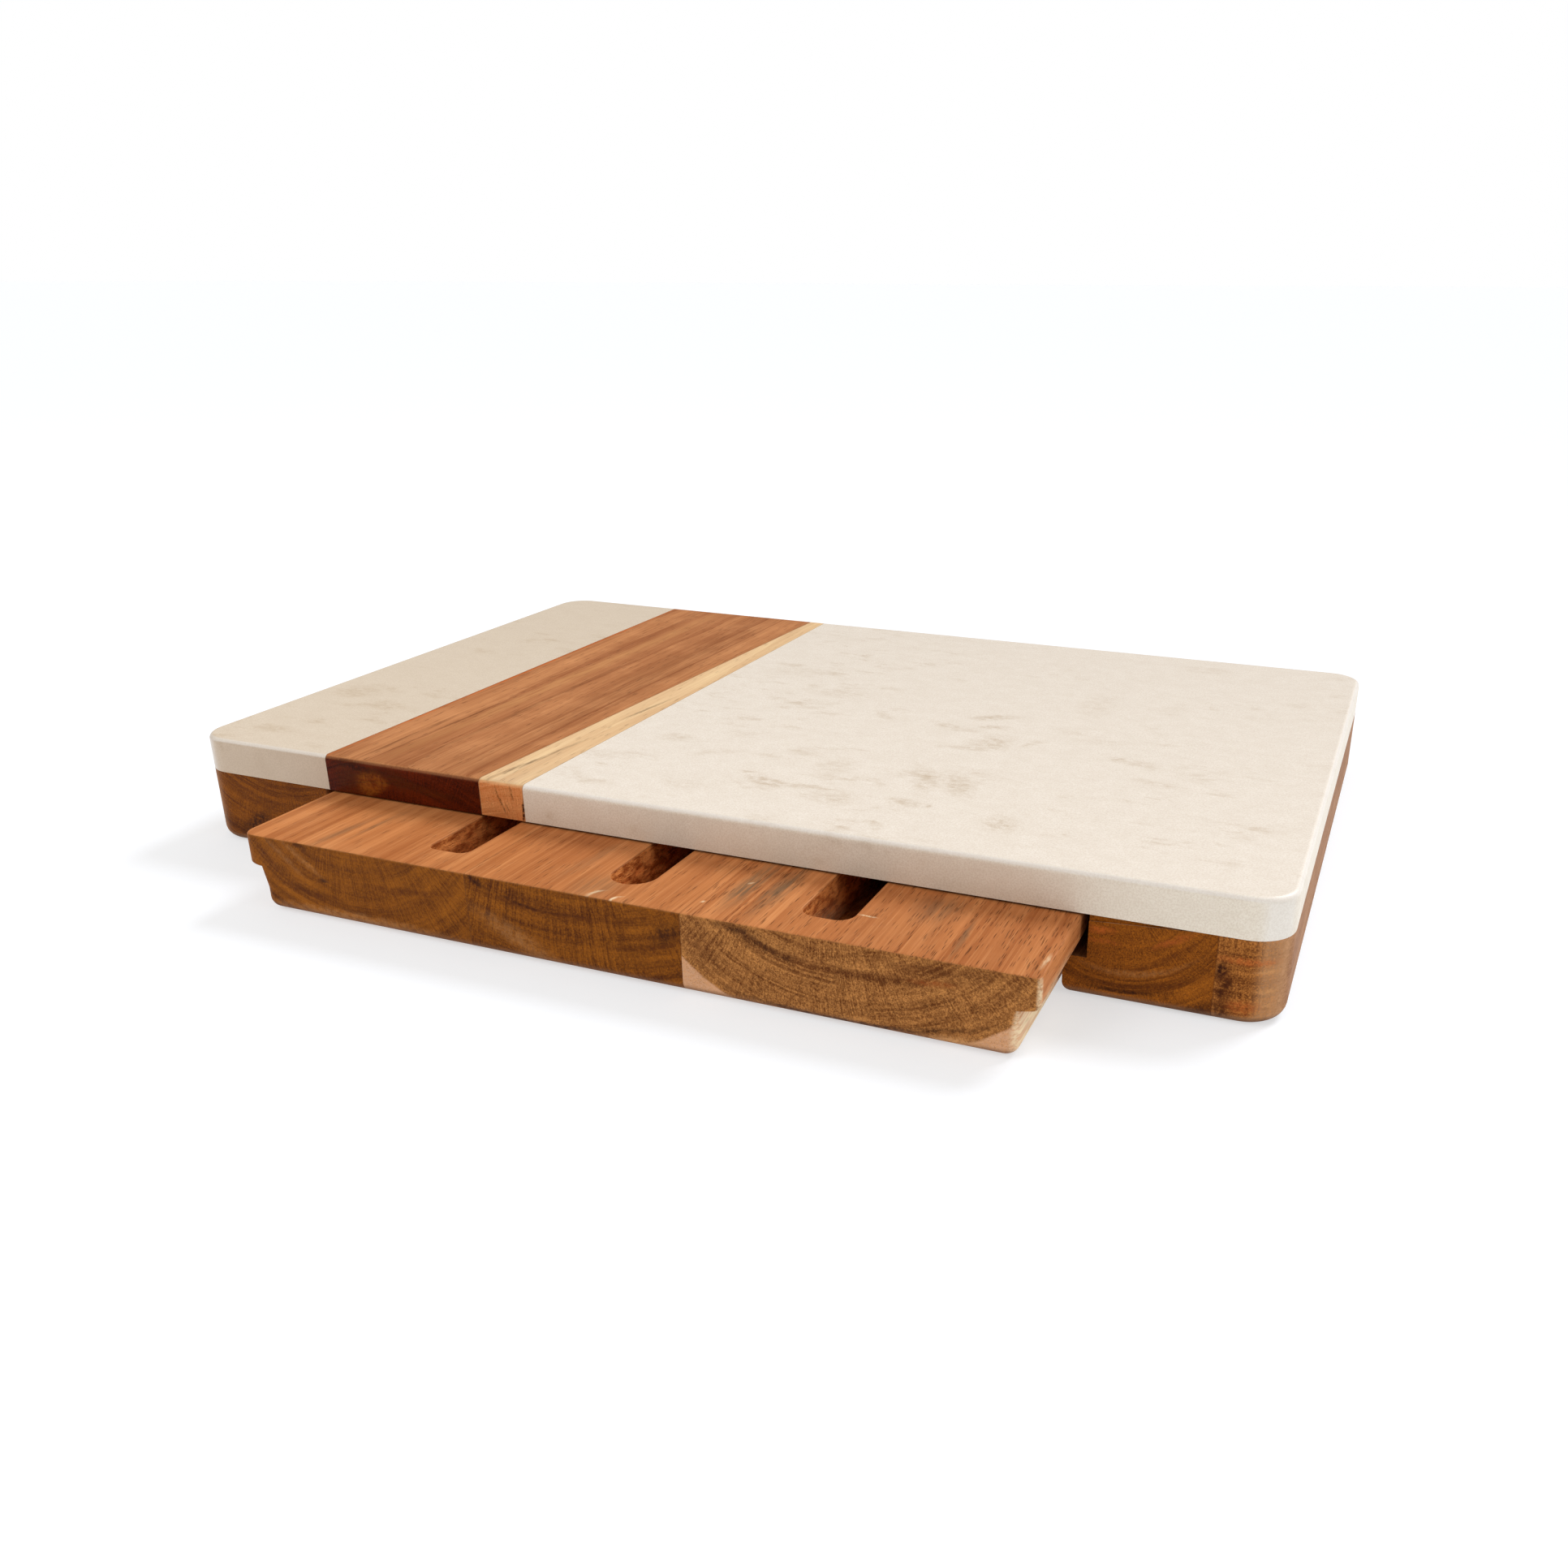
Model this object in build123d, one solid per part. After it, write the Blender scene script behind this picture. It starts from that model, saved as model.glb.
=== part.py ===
"""A marble and acacia cheese board with a slide-out tool drawer.

The board lies flat on Z = 0 with its long side along X and the drawer opening towards -Y. The origin is the
middle of the footprint, drawer included, with the drawer pulled out as far as it is at rest.
"""

import os

from build123d import *

# Serving top: two marble slabs with two wooden strips between them, the pale one tapered
board_width = 380.0
board_depth = 242.0
top_thickness = 12.5
corner_radius = 12.0
top_edge_ease = 1.8
marble_left_width = 58.9
acacia_front_width = 63.0
pale_front_width = 17.1
pale_back_width = 7.0

# Base: a panel of glued staves with a channel for the drawer, open at the front and below
base_thickness = 26.5
bottom_edge_round = 4.5
edge_stave_width = 19.0
wide_stave_count = 5
left_shoulder_width = 57.0
right_shoulder_width = 54.6
channel_depth = 190.5
lip_width = 6.7
lip_thickness = 13.0
router_radius = 2.0

# Sanding step on the front of the right rail, just under the marble
step_height = 2.0
step_run = 31.0
step_depth = 0.5

# Drawer: a T-shaped slab that hangs by its two tongues
drawer_pull = 41.0
drawer_length = 189.0
drawer_side_play = 2.4
drawer_top_play = 0.7
drawer_floor_gap = 0.4
tongue_thickness = 9.2
tongue_projection = 5.6
tongue_root_drop = 1.2
tongue_round = 2.2
drawer_top_ease = 0.8
drawer_back_ease = 1.5
left_front_round = 4.5
right_front_round = 2.0
body_bottom_round = 4.0
body_corner_round = 4.2
body_corner_ease = 1.5
corner_run_out = 7.6
middle_stave_width = 73.0
middle_stave_offset = -9.2

# Tool slots in the drawer
slot_pitch = 63.8
slot_row_offset = 1.8
slot_front_wall = 12.6
round_slot_front_wall = 11.9
slot_back_wall = 26.4
slot_depth = 15.0
slot_rim_ease = 0.4
left_slot_width = 14.9
left_slot_corner = 3.6
right_slot_width = 15.8
right_slot_corner = 5.0
round_slot_width = 14.8
ledge_depth = 6.4
ledge_width = 0.9

# How far a cutting block reaches past what it cuts
overrun = 20.0

# Places worked out from the sizes
left_x = -board_width / 2
right_x = board_width / 2
drawer_front_y = -(board_depth + drawer_pull) / 2
front_y = drawer_front_y + drawer_pull
back_y = front_y + board_depth
board_middle_y = (front_y + back_y) / 2
channel_back_y = front_y + channel_depth
groove_left_x = left_x + left_shoulder_width
groove_right_x = right_x - right_shoulder_width
channel_middle_x = (groove_left_x + groove_right_x) / 2
groove_half_width = (groove_right_x - groove_left_x) / 2
top_z = base_thickness + top_thickness
drawer_bottom_z = drawer_floor_gap
drawer_top_z = base_thickness - drawer_top_play
tongue_bottom_z = drawer_top_z - tongue_thickness
tongue_root_z = tongue_bottom_z - tongue_root_drop
tongue_half_width = groove_half_width - drawer_side_play
body_half_width = tongue_half_width - tongue_projection
lip_half_width = groove_half_width - lip_width
drawer_middle_y = drawer_front_y + drawer_length / 2
slot_end_y = drawer_front_y + drawer_length - slot_back_wall
slot_floor_z = drawer_top_z - slot_depth


def block(x_low, x_high, y_low, y_high, z_low, z_high):
    """A rectangular block between two corners."""
    middle = Pos((x_low + x_high) / 2, (y_low + y_high) / 2, (z_low + z_high) / 2)
    return middle * Box(x_high - x_low, y_high - y_low, z_high - z_low)


def slab(plan, z_low, z_high):
    """A flat plan drawn at Z = 0, raised between two heights."""
    return extrude(Pos(0, 0, z_low) * plan, amount=z_high - z_low)


def between(solid, x_low, x_high):
    """The part of a long solid between two glue joints that run front to back."""
    y_low, y_high = drawer_front_y - overrun, back_y + overrun
    return solid & block(x_low, x_high, y_low, y_high, -overrun, top_z + overrun)


def board_plan():
    """The outline of the board from above."""
    return Pos(0, board_middle_y) * RectangleRounded(board_width, board_depth, corner_radius)


def serving_top():
    """The whole top layer, with its upper edges eased, before it is divided."""
    plate = slab(board_plan(), base_thickness, top_z)
    return fillet(plate.faces().sort_by(Axis.Z)[-1].edges(), top_edge_ease)


def pale_strip_plan(right_joint):
    """The tapered outline of the pale strip, run on past the front and the back of the board."""
    taper = (pale_front_width - pale_back_width) / board_depth
    front_left = right_joint - pale_front_width - taper * overrun
    back_left = right_joint - pale_back_width + taper * overrun
    outline = Polyline(
        (front_left, front_y - overrun),
        (right_joint, front_y - overrun),
        (right_joint, back_y + overrun),
        (back_left, back_y + overrun),
        close=True,
    )
    return make_face(outline)


def top_pieces():
    """The two marble slabs and the two strips, edge to edge."""
    top = serving_top()
    left_joint = left_x + marble_left_width
    right_joint = left_joint + acacia_front_width + pale_front_width
    wedge = slab(pale_strip_plan(right_joint), base_thickness - overrun, top_z + overrun)
    return {
        "marble_left": between(top, left_x - overrun, left_joint),
        "acacia_strip": between(top, left_joint, right_joint) - wedge,
        "pale_strip": top & wedge,
        "marble_right": between(top, right_joint, right_x + overrun),
    }


def channel_plan(half_width):
    """The plan of a cut that is open at the front and has the cutter's radius in its back corners."""
    depth = channel_depth + overrun
    middle_y = channel_back_y - depth / 2
    return Pos(channel_middle_x, middle_y) * RectangleRounded(2 * half_width, depth, router_radius)


def sanding_step():
    """A shallow wedge taken off the front of the right rail where it meets the marble."""
    outline = Polyline(
        (groove_right_x, base_thickness),
        (groove_right_x + step_run, base_thickness),
        (groove_right_x, base_thickness - step_height),
        close=True,
    )
    face = Plane.XZ * make_face(outline)
    return Pos(0, front_y + step_depth, 0) * extrude(face, amount=step_depth + overrun)


def base_panel():
    """The glued panel with its drawer channel cut, before it is divided into staves."""
    panel = slab(board_plan(), 0, base_thickness)
    panel -= slab(channel_plan(lip_half_width), -overrun, base_thickness + overrun)
    panel = fillet(panel.faces().sort_by(Axis.Z)[0].edges(), bottom_edge_round)
    panel -= slab(channel_plan(groove_half_width), lip_thickness, base_thickness + overrun)
    return panel - sanding_step()


def base_pieces():
    """The staves of the base, from the narrow one at the right edge to the wide left rail."""
    names = ["right_rail", "back_stave_right", "back_stave_middle", "back_stave_left", "left_rail"]
    panel = base_panel()
    first_joint = right_x - edge_stave_width
    pieces = {"right_edge_stave": between(panel, first_joint, right_x)}
    stave_width = (board_width - edge_stave_width) / wide_stave_count
    for index, name in enumerate(names):
        high = first_joint - index * stave_width
        pieces[name] = between(panel, high - stave_width, high)
    return pieces


def plate_section():
    """The upper plate seen from the front, its undersides sloping up to rounded tongue tips."""
    outline = Polyline(
        (-tongue_half_width, drawer_top_z),
        (tongue_half_width, drawer_top_z),
        (tongue_half_width, tongue_bottom_z),
        (body_half_width, tongue_root_z),
        (-body_half_width, tongue_root_z),
        (-tongue_half_width, tongue_bottom_z),
        close=True,
    )
    section = make_face(outline)
    tips = section.vertices().filter_by_position(Axis.Y, tongue_bottom_z, tongue_bottom_z)
    return fillet(tips, tongue_round)


def plate_plan():
    """The upper plate seen from above: its two front corners are sanded unlike each other."""
    plan = Pos(0, drawer_middle_y) * Rectangle(2 * tongue_half_width, drawer_length)
    plan = fillet(plan.vertices().group_by(Axis.Y)[-1], drawer_back_ease)
    plan = fillet(plan.vertices().group_by(Axis.Y)[0].sort_by(Axis.X)[0], left_front_round)
    return fillet(plan.vertices().group_by(Axis.Y)[0].sort_by(Axis.X)[-1], right_front_round)


def plate():
    """The upper plate with its two tongues."""
    lengthwise = extrude(Plane.XZ * plate_section(), amount=-drawer_length)
    lengthwise = Pos(0, drawer_front_y, 0) * lengthwise
    return lengthwise & slab(plate_plan(), tongue_root_z - overrun, drawer_top_z + overrun)


def body_plan(corner, height):
    """The drawer's lower body seen from above, at one height."""
    return Pos(0, drawer_middle_y, height) * RectangleRounded(2 * body_half_width, drawer_length, corner)


def lower_body():
    """The body under the plate: its corner rounds run out under the tongues."""
    run_out_z = tongue_root_z - corner_run_out
    lower = extrude(body_plan(body_corner_round, drawer_bottom_z), amount=run_out_z - drawer_bottom_z)
    lower = fillet(lower.faces().sort_by(Axis.Z)[0].edges(), body_bottom_round)
    run_out = [body_plan(body_corner_round, run_out_z), body_plan(body_corner_ease, tongue_root_z)]
    return lower + loft(run_out, ruled=True)


def drawer_blank():
    """The T-shaped slab, centred on X = 0, before its slots are cut."""
    blank = plate() + lower_body()
    return fillet(blank.faces().sort_by(Axis.Z)[-1].edges(), drawer_top_ease)


def slot_cutter(plan, z_low):
    """A slot plan cut down to a floor."""
    return slab(plan, z_low, drawer_top_z + overrun)


def flat_slot_cut(centre_x, width, corner):
    """A straight slot with a flat front end, its long axis front to back."""
    length = drawer_length - slot_front_wall - slot_back_wall
    plan = Pos(centre_x, slot_end_y - length / 2) * RectangleRounded(width, length, corner)
    return slot_cutter(plan, slot_floor_z)


def round_slot_cut(centre_x):
    """A round-ended slot cut in two passes, the lower one a little narrower, which leaves a ledge."""
    length = drawer_length - round_slot_front_wall - slot_back_wall
    middle = Pos(centre_x, slot_end_y - length / 2)
    inset = 2 * ledge_width
    upper = middle * SlotOverall(length, round_slot_width, rotation=90)
    lower = middle * SlotOverall(length - inset, round_slot_width - inset, rotation=90)
    return slot_cutter(upper, drawer_top_z - ledge_depth) + slot_cutter(lower, slot_floor_z)


def drawer():
    """The drawer with its three tool slots, in its place in the channel."""
    solid = drawer_blank()
    solid -= flat_slot_cut(slot_row_offset - slot_pitch, left_slot_width, left_slot_corner)
    solid -= round_slot_cut(slot_row_offset)
    solid -= flat_slot_cut(slot_row_offset + slot_pitch, right_slot_width, right_slot_corner)
    top_face = solid.faces().filter_by(Axis.Z).sort_by(Axis.Z)[-1]
    rims = [edge for wire in top_face.inner_wires() for edge in wire.edges()]
    return Pos(channel_middle_x, 0, 0) * fillet(rims, slot_rim_ease)


def drawer_pieces():
    """The three glued staves of the drawer."""
    solid = drawer()
    middle_x = channel_middle_x + middle_stave_offset
    left_joint = middle_x - middle_stave_width / 2
    right_joint = middle_x + middle_stave_width / 2
    return {
        "drawer_stave_left": between(solid, left_x - overrun, left_joint),
        "drawer_stave_middle": between(solid, left_joint, right_joint),
        "drawer_stave_right": between(solid, right_joint, right_x + overrun),
    }


os.makedirs("parts", exist_ok=True)
for name, piece in {**top_pieces(), **base_pieces(), **drawer_pieces()}.items():
    export_step(piece, f"parts/{name}.step")
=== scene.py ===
"""The looks of a marble and acacia cheese board with a slide-out tool drawer.

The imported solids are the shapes. This script gives each of them its stone or wood, and adds the floor,
the studio light and the camera.
"""

import math

import bpy
from mathutils import Color, Matrix, Vector


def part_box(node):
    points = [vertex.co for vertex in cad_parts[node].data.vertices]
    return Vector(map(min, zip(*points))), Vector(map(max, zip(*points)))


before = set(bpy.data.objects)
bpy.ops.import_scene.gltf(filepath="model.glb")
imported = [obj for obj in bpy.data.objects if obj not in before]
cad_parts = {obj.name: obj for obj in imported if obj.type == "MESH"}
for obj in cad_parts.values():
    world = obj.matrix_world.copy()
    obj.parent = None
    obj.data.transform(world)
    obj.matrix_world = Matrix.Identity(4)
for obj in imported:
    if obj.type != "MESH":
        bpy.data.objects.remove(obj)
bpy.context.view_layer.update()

scene = bpy.context.scene

MM = 0.001
HALF = 0.5
FULL_CARD = 255
WHITE = (1.0, 1.0, 1.0, 1.0)
# Where a mix node has its share and its two colours going in, and its colour coming out
MIX_IN, MIX_OUT = (0, 6, 7), 2

# Camera, as the photograph was taken: its lens and sensor are in millimetres
CAMERA_PLACE = (0.20801, -0.44356, 0.19027)
CAMERA_YAW = math.radians(21.759)
CAMERA_PITCH = math.radians(-22.962)
CAMERA_ROLL = math.radians(0.156)
CAMERA_LEVEL = math.radians(90)
CAMERA_LENS = 31.53
CAMERA_SENSOR = 36.0
CAMERA_SHIFT = (-0.05806, 0.04618)

# Floor and light
FLOOR_SIZE = 60.0
FLOOR_SHADE = (0.53, 0.55, 0.59, 1.0)
FLOOR_ROUGHNESS = 1.0
FLOOR_GLOSS = 0.0
FLOOR_GLOW_SHADE = (0.96, 0.985, 1.0, 1.0)
FLOOR_GLOW = 0.56
SKY_SHADE = (1.0, 0.89, 0.77, 1.0)
HORIZON_LEVEL, SKY_LEVEL = 0.1, 0.46
SKY_FULL_HEIGHT = 0.65
BACKDROP_LEVEL = 1.0
SUN_LEVEL = 2.08
SUN_SHADE = (0.95, 0.98, 1.02)
SUN_SPREAD = math.radians(26)
SUN_TILT = math.radians(47)
SUN_TURN = math.radians(28)
SIDE_LIGHT_PLACE = (0.95, -0.3, 0.5)
SIDE_LIGHT_AIM = (0.1, 0.0, 0.02)
SIDE_LIGHT_SIZE = 0.6
SIDE_LIGHT_POWER = 1.6
FILL_LIGHT_PLACE = (-0.6, -0.8, 0.85)
FILL_LIGHT_AIM = (0.0, -0.1, 0.02)
FILL_LIGHT_SIZE = 0.9
FILL_LIGHT_POWER = 4.9


def clear_selection():
    """Leaves nothing selected, so that the next operator acts on its own piece."""
    bpy.ops.object.select_all(action="DESELECT")


def paint(red, green, blue):
    """A colour read from a paint card, 0 to 255 a channel."""
    card = Color((red / FULL_CARD, green / FULL_CARD, blue / FULL_CARD))
    return (*card.from_srgb_to_scene_linear(), 1.0)


def millimetres(**sizes):
    """Named sizes in millimetres, made metres and named as a group's inputs are."""
    return {name.replace("_", " "): value * MM for name, value in sizes.items()}


def feed(tree, value, socket):
    """Links a value to a socket if it is a socket itself, and otherwise sets it there."""
    if isinstance(value, bpy.types.NodeSocket):
        tree.links.new(value, socket)
    else:
        socket.default_value = value


def put(tree, kind, sockets, **settings):
    """Adds a node with its settings, and feeds its sockets."""
    made = tree.nodes.new(kind)
    for name, value in settings.items():
        setattr(made, name, value)
    for key, value in sockets.items():
        feed(tree, value, made.inputs[key])
    return made


def surface(tree):
    """The coordinates of a point: where it lies, and which way its face turns."""
    return put(tree, "ShaderNodeTexCoord", {}).outputs


def reckon(tree, operation, *values):
    """One step of arithmetic on numbers."""
    return put(tree, "ShaderNodeMath", dict(enumerate(values)), operation=operation).outputs[0]


def shift(tree, operation, *values):
    """One step of arithmetic on places."""
    return put(tree, "ShaderNodeVectorMath", dict(enumerate(values)), operation=operation).outputs[0]


def scaled(tree, place, factor):
    """A place or a push made longer or shorter by one factor."""
    sockets = {"Vector": place, "Scale": factor}
    return put(tree, "ShaderNodeVectorMath", sockets, operation="SCALE").outputs[0]


def split(tree, place):
    """The three parts of a place."""
    return put(tree, "ShaderNodeSeparateXYZ", {0: place}).outputs


def joined(tree, x, y, z):
    """A place from its three parts."""
    return put(tree, "ShaderNodeCombineXYZ", {0: x, 1: y, 2: z}).outputs[0]


def fade(tree, value, low, high):
    """A soft step from 0 at the first value to 1 at the second one."""
    sockets = {"Value": value, "From Min": low, "From Max": high}
    made = put(tree, "ShaderNodeMapRange", sockets, interpolation_type="SMOOTHSTEP")
    return made.outputs["Result"]


def spread(tree, value, low, high):
    """A mask from 0 to 1 laid out between two values."""
    sockets = {"Value": value, "To Min": low, "To Max": high}
    return put(tree, "ShaderNodeMapRange", sockets).outputs["Result"]


def layered(tree, *layers):
    """The sum of masks, each with its share."""
    total = 0.0
    for mask, share in layers:
        total = reckon(tree, "MULTIPLY_ADD", mask, share, total)
    return total


def every(tree, *masks):
    """The product of masks: 1 only where all of them are."""
    total = 1.0
    for mask in masks:
        total = reckon(tree, "MULTIPLY", mask, total)
    return total


def mix(tree, share, first, second, blend="MIX"):
    """The first colour with a share of the second over it."""
    made = put(tree, "ShaderNodeMix", {}, data_type="RGBA", blend_type=blend)
    for key, value in zip(MIX_IN, (share, first, second)):
        feed(tree, value, made.inputs[key])
    return made.outputs[MIX_OUT]


def tinted(tree, color, shade, mask, depth):
    """A colour with another over it, as deep as a mask says."""
    return mix(tree, reckon(tree, "MULTIPLY", mask, depth), color, shade)


def cloud(tree, place, cells, detail=2.0, roughness=0.5, result="Fac"):
    """Soft noise, with so many cells a metre along each way."""
    sockets = {"Vector": shift(tree, "MULTIPLY", place, cells), "Scale": 1.0}
    sockets |= {"Detail": detail, "Roughness": roughness}
    return put(tree, "ShaderNodeTexNoise", sockets).outputs[result]


def pushed(tree, place, source, cells, detail, reach):
    """Places pushed about by the noise at a source place, so that nothing runs even."""
    noise = cloud(tree, source, cells, detail, result="Color")
    push = shift(tree, "SUBTRACT", noise, (HALF, HALF, HALF))
    return shift(tree, "ADD", place, scaled(tree, push, reach))


def seeded_place(tree, start, place):
    """A place moved by the seed, so that no two pieces show the same figure."""
    seed = start["Seed"]
    return shift(tree, "ADD", place, joined(tree, seed, seed, seed))


def new_group(name, given, results):
    """An empty node group with named inputs and outputs."""
    tree = bpy.data.node_groups.new(name, "ShaderNodeTree")
    for label, value in given.items():
        kind = "NodeSocketColor" if isinstance(value, tuple) else "NodeSocketFloat"
        socket = tree.interface.new_socket(label, in_out="INPUT", socket_type=kind)
        socket.default_value = value
    for label in results:
        kind = "NodeSocketColor" if label == "Color" else "NodeSocketFloat"
        tree.interface.new_socket(label, in_out="OUTPUT", socket_type=kind)
    start = tree.nodes.new("NodeGroupInput").outputs
    end = tree.nodes.new("NodeGroupOutput").inputs
    return tree, start, end


def close_group(tree, end, results):
    """Links what a group puts out, by name."""
    for label, socket in results.items():
        tree.links.new(socket, end[label])
    return tree


def use(tree, group, values):
    """Places a node group and gives it this material's own values."""
    return put(tree, "ShaderNodeGroup", values, node_tree=group).outputs


def new_material(name):
    """A named node material with only its shader."""
    material = bpy.data.materials.new(name)
    material.use_nodes = True
    return material, material.node_tree.nodes["Principled BSDF"]


def finish_material(material, shader, made, relief, gloss):
    """Puts a group's colour, roughness and relief on a material's own shader."""
    tree = material.node_tree
    bump = put(tree, "ShaderNodeBump", {"Strength": 1.0, "Distance": relief, "Height": made["Height"]})
    tree.links.new(made["Color"], shader.inputs["Base Color"])
    tree.links.new(made["Roughness"], shader.inputs["Roughness"])
    tree.links.new(bump.outputs["Normal"], shader.inputs["Normal"])
    shader.inputs["Specular IOR Level"].default_value = gloss


# Masks on faces: how far a face turns that way when its mask starts, and when it is full

ACROSS_FACING = (0.45, 0.85)
EDGE_FACING = (0.995, 0.86)
TOP_FACING = (0.5, 0.9)
SIDE_FACING = (0.3, 0.8)
WOOD_UNDER_FACING = (-0.15, -0.7)
STONE_UNDER_FACING = (-0.5, -0.9)
SHADED_SIDE_FACING = (0.75, 0.25)


def end_mask(tree, normal):
    """1 on a face cut across the grain, 0 on a face along it."""
    return fade(tree, reckon(tree, "ABSOLUTE", split(tree, normal)["Y"]), *ACROSS_FACING)


def edge_mask(tree, normal):
    """1 on rounded and eased edges, 0 on flat faces that lie along or across the board."""
    parts = split(tree, shift(tree, "ABSOLUTE", normal))
    most = reckon(tree, "MAXIMUM", reckon(tree, "MAXIMUM", parts["X"], parts["Y"]), parts["Z"])
    return fade(tree, most, *EDGE_FACING)


def under_mask(tree, normal, facing):
    """1 on a face that looks down at the floor."""
    return fade(tree, split(tree, normal)["Z"], *facing)


# Wood: one solid figure that every cut face shows, as in a real stave

# Where a noise's mask starts, and where it is full
SOFT = (0.3, 0.7)
CRISP = (0.4, 0.62)
RARE = (0.55, 0.78)

# Noises along the grain: cells a metre across, along and up, how detailed, and how rough
GRAIN_NOISES = {
    "bands": ((60.0, 4.0, 60.0), 3.0, 0.5),
    "flows": ((210.0, 3.0, 210.0), 3.0, 0.6),
    "haze": ((50.0, 38.0, 50.0), 4.0, 0.6),
    "grey": ((120.0, 11.0, 120.0), 4.0, 0.65),
    "streaks": ((620.0, 9.0, 620.0), 2.0, 0.5),
    "fibres": ((1900.0, 34.0, 1900.0), 2.0, 0.6),
    "patches": ((55.0, 12.0, 70.0), 3.0, 0.5),
    "specks": ((2100.0, 300.0, 2100.0), 2.0, 0.65),
    "blots": ((110.0, 40.0, 190.0), 3.0, 0.6),
    "grit": ((2000.0, 60.0, 1500.0), 3.0, 0.7),
    "ragged": ((460.0, 170.0, 460.0), 4.0, 0.7),
}
# Noises round the heart line: cells a metre round it, out from it and along it, then as above
HEART_NOISES = {
    "arcs": ((30.0, 800.0, 40.0), 4.0, 0.65),
    "rays": ((2500.0, 110.0, 60.0), 2.0, 0.5),
}
NOISE_CUTS = {
    "bands": SOFT, "flows": (0.35, 0.65), "haze": (0.42, 0.7), "grey": RARE, "patches": CRISP,
    "blots": SOFT, "arcs": SOFT, "rays": SOFT,
}

# Rings: how they wander, as cells a metre, detail and reach, and how their widths and lines vary
SWAY = ((14.0, 4.0, 14.0), 1.0, 5.0 * MM)
RIPPLE = ((160.0, 20.0, 160.0), 2.0, 0.8 * MM)
RING_DETAIL = 2.0
RING_UNEVENNESS = 2.0
LINE_SHARPNESS = 5.0
ARC_REACH = 80.0 * MM

# Pores: cells a metre, how a hole deepens towards its middle, and how the flows crowd them
PORE_CELLS = (2300.0, 150.0, 2300.0)
PORE_HOLE = (0.4, 0.1)
PORE_CROWDING = (0.2, 1.7)

# Faces along the grain
BROAD_SHARE, BAND_SHARE, FLOW_SHARE = 0.2, 0.4, 0.4
STREAK_SHARE, FIBRE_SHARE = 0.55, 0.45
STREAK_CUT = (0.36, 0.64)
FIBRE_SHEEN_CUT, FIBRE_SHEEN_DEPTH = (0.44, 0.3), 0.22

# Faces across the grain: how strong each is where the patches are weak, and where they are full
ARCS_IN_PATCHES, RAYS_IN_PATCHES, LINES_IN_PATCHES = (0.5, 1.2), (1.3, 0.4), (0.2, 1.6)
BLOT_DEPTH = 0.14
DARK_GRIT, PALE_GRIT = (0.5, 0.64), (0.47, 0.34)

# Sapwood, wear, glue lines, and painted shade on the undersides
SAP_BLUR = 0.5 * MM
SAP_FLECKS, SAP_DEPTH = 0.4, 0.92
RUB_UNEVENNESS = (0.2, 1.4)
GLUE_LINE = 0.35 * MM
UNDERSIDE_PAINTED_SHADE_DEPTH = 0.7

# Tool slots: a box round all three, a little past their ends, where the cutter tore the grain
SLOT_RIM, SLOT_FLOOR = 25.4 * MM, 10.7 * MM
SLOTS_FRONT, SLOTS_BACK, SLOTS_REACH = -130.5 * MM, 21.5 * MM, 100.0 * MM
SLOT_BLUR = 0.35 * MM
TORN_CUT, TORN_DEPTH = (0.38, 0.62), 0.85
# The heights where the painted shade in the slots starts, and where it is full
DIM_FROM, DIM_TO = 16.0 * MM, 10.8 * MM
SLOT_PAINTED_SHADE_DEPTH = 0.6

# Roughness and relief of the wood
WOOD_ROUGHNESS, FIBRE_ROUGHNESS, PORE_ROUGHNESS = 0.45, 0.2, 0.25
SPECK_HEIGHT, FIBRE_HEIGHT, PORE_HEIGHT, LINE_HEIGHT, TEAR_HEIGHT = 1.0, 0.6, -1.2, -0.3, 7.0
WOOD_RELIEF = 0.12 * MM
WOOD_GLOSS = 0.08


def heart_place(tree, start, place, seeded):
    """How far a point lies from the stave's heart line, and in which direction."""
    moved = pushed(tree, place, seeded, *SWAY)
    moved = split(tree, pushed(tree, moved, seeded, *RIPPLE))
    across = reckon(tree, "SUBTRACT", moved["X"], start["Heart X"])
    up = reckon(tree, "SUBTRACT", moved["Z"], start["Heart Z"])
    square = reckon(tree, "MULTIPLY_ADD", across, across, reckon(tree, "MULTIPLY", up, up))
    uneven = reckon(tree, "MULTIPLY", across, start["Skew"])
    radius = reckon(tree, "SUBTRACT", reckon(tree, "SQRT", square), uneven)
    turn = reckon(tree, "ARCTAN2", across, reckon(tree, "MULTIPLY", up, -1.0))
    return radius, joined(tree, reckon(tree, "MULTIPLY", turn, ARC_REACH), radius, moved["Y"])


def ring_masks(tree, start, radius):
    """Broad uneven rings, and the thin dark line where each one ends."""
    count = reckon(tree, "DIVIDE", radius, start["Ring"])
    count = reckon(tree, "ADD", count, start["Seed"])
    sockets = {"W": count, "Scale": 1.0, "Detail": RING_DETAIL}
    noise = put(tree, "ShaderNodeTexNoise", sockets, noise_dimensions="1D").outputs["Fac"]
    turn = reckon(tree, "FRACT", reckon(tree, "MULTIPLY_ADD", noise, RING_UNEVENNESS, count))
    return fade(tree, noise, *SOFT), reckon(tree, "POWER", turn, LINE_SHARPNESS)


def pore_mask(tree, seeded, share, flows):
    """Open pores: dots on a face across the grain, and dashes on a face along it."""
    place = shift(tree, "MULTIPLY", seeded, PORE_CELLS)
    cell = put(tree, "ShaderNodeTexVoronoi", {"Vector": place, "Scale": 1.0})
    hole = fade(tree, cell.outputs["Distance"], *PORE_HOLE)
    pick = split(tree, cell.outputs["Color"])["X"]
    crowd = reckon(tree, "MULTIPLY", share, spread(tree, flows, *PORE_CROWDING))
    depth = fade(tree, pick, crowd, reckon(tree, "MULTIPLY", crowd, HALF))
    return reckon(tree, "MULTIPLY", hole, depth)


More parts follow.
